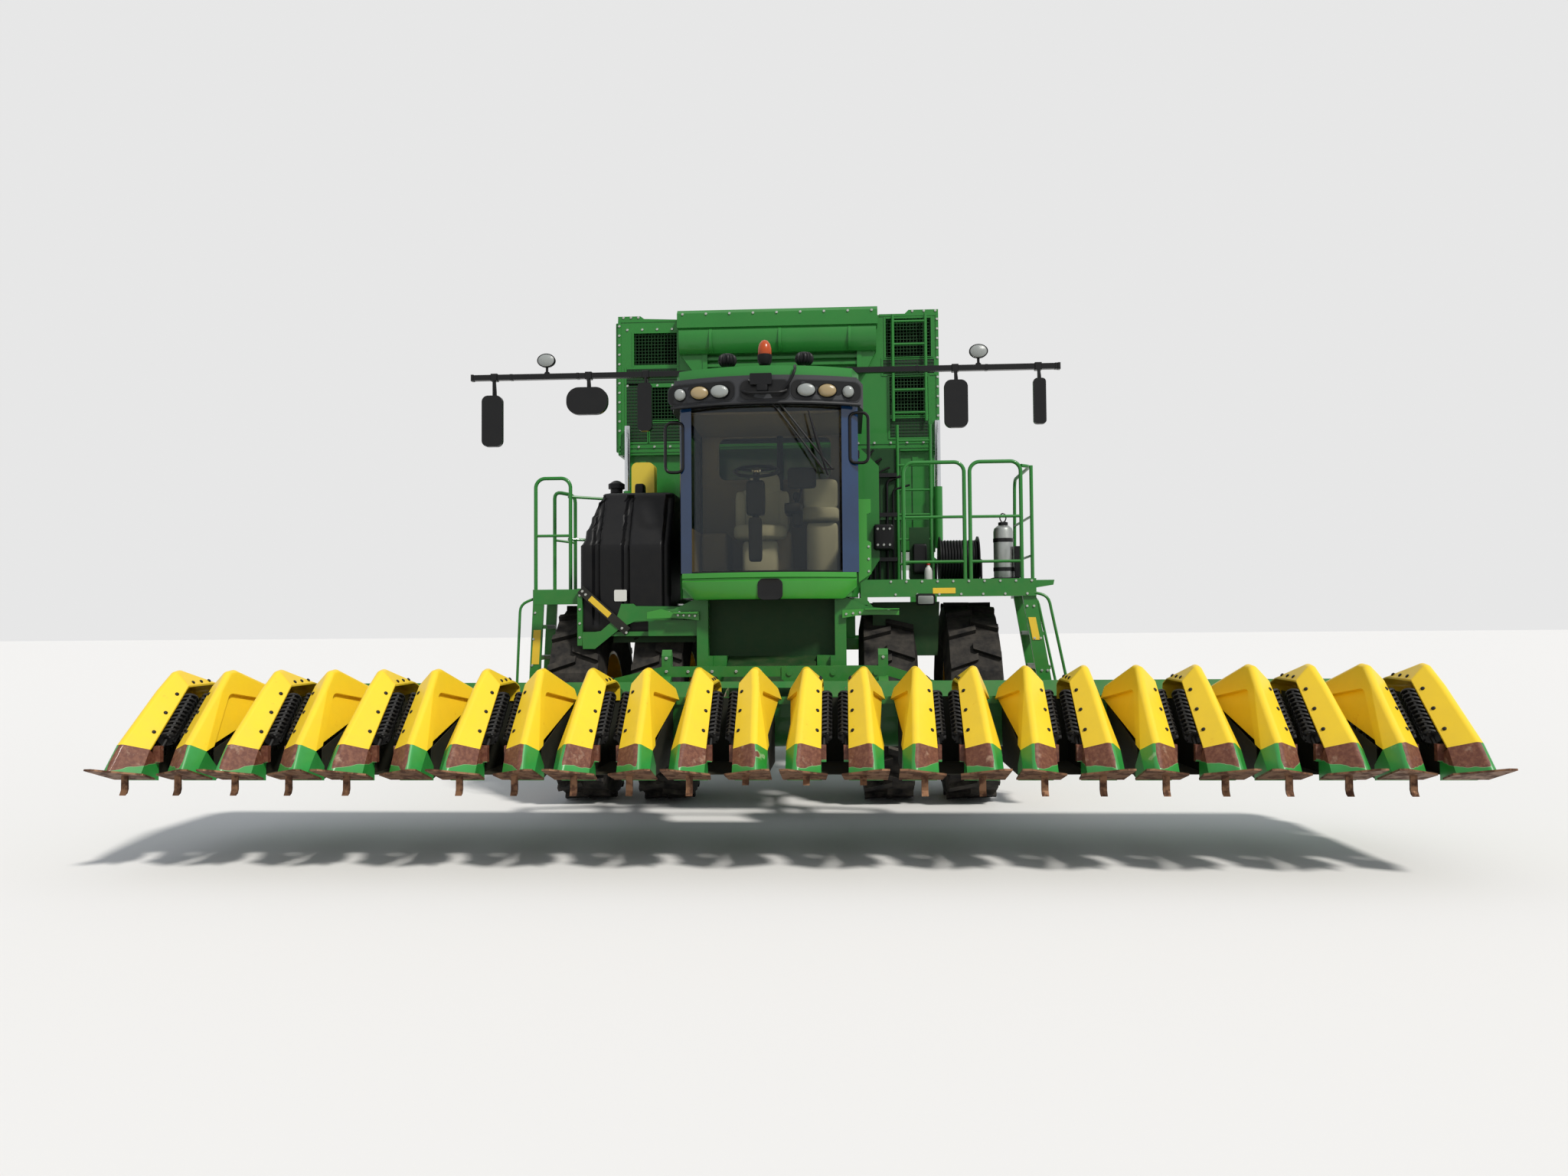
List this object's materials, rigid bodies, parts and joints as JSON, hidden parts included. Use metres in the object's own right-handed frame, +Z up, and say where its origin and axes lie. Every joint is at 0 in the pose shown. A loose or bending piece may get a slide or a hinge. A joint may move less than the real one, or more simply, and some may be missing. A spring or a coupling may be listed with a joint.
{
  "type": "cotton stripper harvester",
  "caption": "Self-propelled cotton stripper with a wide raised header of yellow row dividers, dual front wheels and a two-part tipping basket.",
  "frame": {"origin": "on the floor, under the middle of the whole machine's box", "axes": "-Y is the front where the header is, +X the operator's left, +Z up"},
  "size_m": [9.104, 8.9, 4.95],
  "materials": {
    "green_paint": "gloss",
    "yellow_paint": "gloss",
    "yellow_plastic": "gloss",
    "worn_steel": "worn, with rust",
    "dark_steel": "satin",
    "black_plastic": "matt",
    "visor_plastic": "moulded grain",
    "tyre_rubber": "dusty",
    "brush_rubber": "matt",
    "tinted_glass": "clear tinted",
    "seat_fabric": "woven",
    "lamp_lens": "clear",
    "amber_lens": "clear",
    "rod_chrome": "polished",
    "milky_plastic": "translucent"
  },
  "bodies": {
    "chassis": {"frame_rails": "green_paint", "frame_cross_members": "green_paint", "cab_posts": "green_paint", "basket_posts": "green_paint", "drawbar": "green_paint", "front_axle": "green_paint", "rear_axle_beam": "green_paint", "lift_cylinders": "green_paint", "engine_block": "dark_steel", "engine_enclosure": "green_paint", "feed_chute": "green_paint", "field_cleaner": "green_paint", "cab_base": "green_paint", "cab_frame": "black_plastic", "cab_roof": "green_paint", "cab_glass": "tinted_glass", "cab_seats": "seat_fabric", "steering_console": "black_plastic", "work_lamps": "lamp_lens", "beacon": "amber_lens", "mirror_bar": "dark_steel", "fuel_tank": "black_plastic", "tank_cradle": "green_paint", "additive_tank": "milky_plastic", "platform_left": "green_paint", "platform_right": "green_paint", "access_ladder": "dark_steel", "deck_equipment": "dark_steel"},
    "header": {"divider_covers": "yellow_plastic", "divider_noses": "green_paint", "skid_shoes": "worn_steel", "stripper_rolls": "brush_rubber", "row_unit_frames": "dark_steel", "header_frame": "green_paint"},
    "cross_auger": {"cross_auger": "green_paint"},
    "front_wheels_left": {"front_tyres_left": "tyre_rubber", "front_rims_left": "yellow_paint"},
    "front_wheels_right": {"front_tyres_right": "tyre_rubber", "front_rims_right": "yellow_paint"},
    "knuckle_left": {"knuckle_left": "green_paint"},
    "knuckle_right": {"knuckle_right": "green_paint"},
    "rear_wheel_left": {"rear_tyre_left": "tyre_rubber", "rear_rim_left": "yellow_paint"},
    "rear_wheel_right": {"rear_tyre_right": "tyre_rubber", "rear_rim_right": "yellow_paint"},
    "cab_door": {"cab_door": "black_plastic", "cab_door_glass": "tinted_glass"},
    "basket": {"basket_lower": "green_paint"},
    "basket_top": {"basket_top": "green_paint", "basket_rods": "rod_chrome"},
    "dump_door": {"dump_door": "green_paint"}
  },
  "joints": [
    {"name": "header_lift", "type": "hinge", "parent": "chassis", "child": "header", "pos_m": [-0.2, -1.52, 1.15], "axis": [1, 0, 0], "range_deg": [-1.5, 11]},
    {"name": "auger_spin", "type": "hinge", "parent": "header", "child": "cross_auger", "pos_m": [0, -2.94, 0.96], "axis": [1, 0, 0], "continuous": true},
    {"name": "front_wheels_left_spin", "type": "hinge", "parent": "chassis", "child": "front_wheels_left", "pos_m": [1.222, -0.77, 0.925], "axis": [1, 0, 0], "continuous": true},
    {"name": "front_wheels_right_spin", "type": "hinge", "parent": "chassis", "child": "front_wheels_right", "pos_m": [-1.622, -0.77, 0.925], "axis": [1, 0, 0], "continuous": true},
    {"name": "steer_left", "type": "hinge", "parent": "chassis", "child": "knuckle_left", "pos_m": [0.62, 2.63, 0.64], "axis": [0, 0, 1], "range_deg": [-40, 40]},
    {"name": "steer_right", "type": "hinge", "parent": "chassis", "child": "knuckle_right", "pos_m": [-1.02, 2.63, 0.64], "axis": [0, 0, 1], "range_deg": [-40, 40]},
    {"name": "rear_wheel_left_spin", "type": "hinge", "parent": "knuckle_left", "child": "rear_wheel_left", "pos_m": [0.95, 2.63, 0.64], "axis": [1, 0, 0], "continuous": true},
    {"name": "rear_wheel_right_spin", "type": "hinge", "parent": "knuckle_right", "child": "rear_wheel_right", "pos_m": [-1.35, 2.63, 0.64], "axis": [1, 0, 0], "continuous": true},
    {"name": "cab_door_hinge", "type": "hinge", "parent": "chassis", "child": "cab_door", "pos_m": [0.59, -0.726, 2.8], "axis": [0, 0, 1], "range_deg": [0, 75]},
    {"name": "basket_tip", "type": "hinge", "parent": "chassis", "child": "basket", "pos_m": [1.375, 2, 2.3], "axis": [0, 1, 0], "range_deg": [0, 75]},
    {"name": "basket_raise", "type": "slide", "parent": "basket", "child": "basket_top", "axis": [0, 0, 1], "range_m": [-0.6, 0]},
    {"name": "dump_door_hinge", "type": "hinge", "parent": "basket_top", "child": "dump_door", "pos_m": [1.47, 2.18, 4.84], "axis": [0, -1, 0], "range_deg": [0, 80]}
  ],
  "couplings": [
    {"joint": "steer_right", "follows": "steer_left", "ratio": 1}
  ]
}
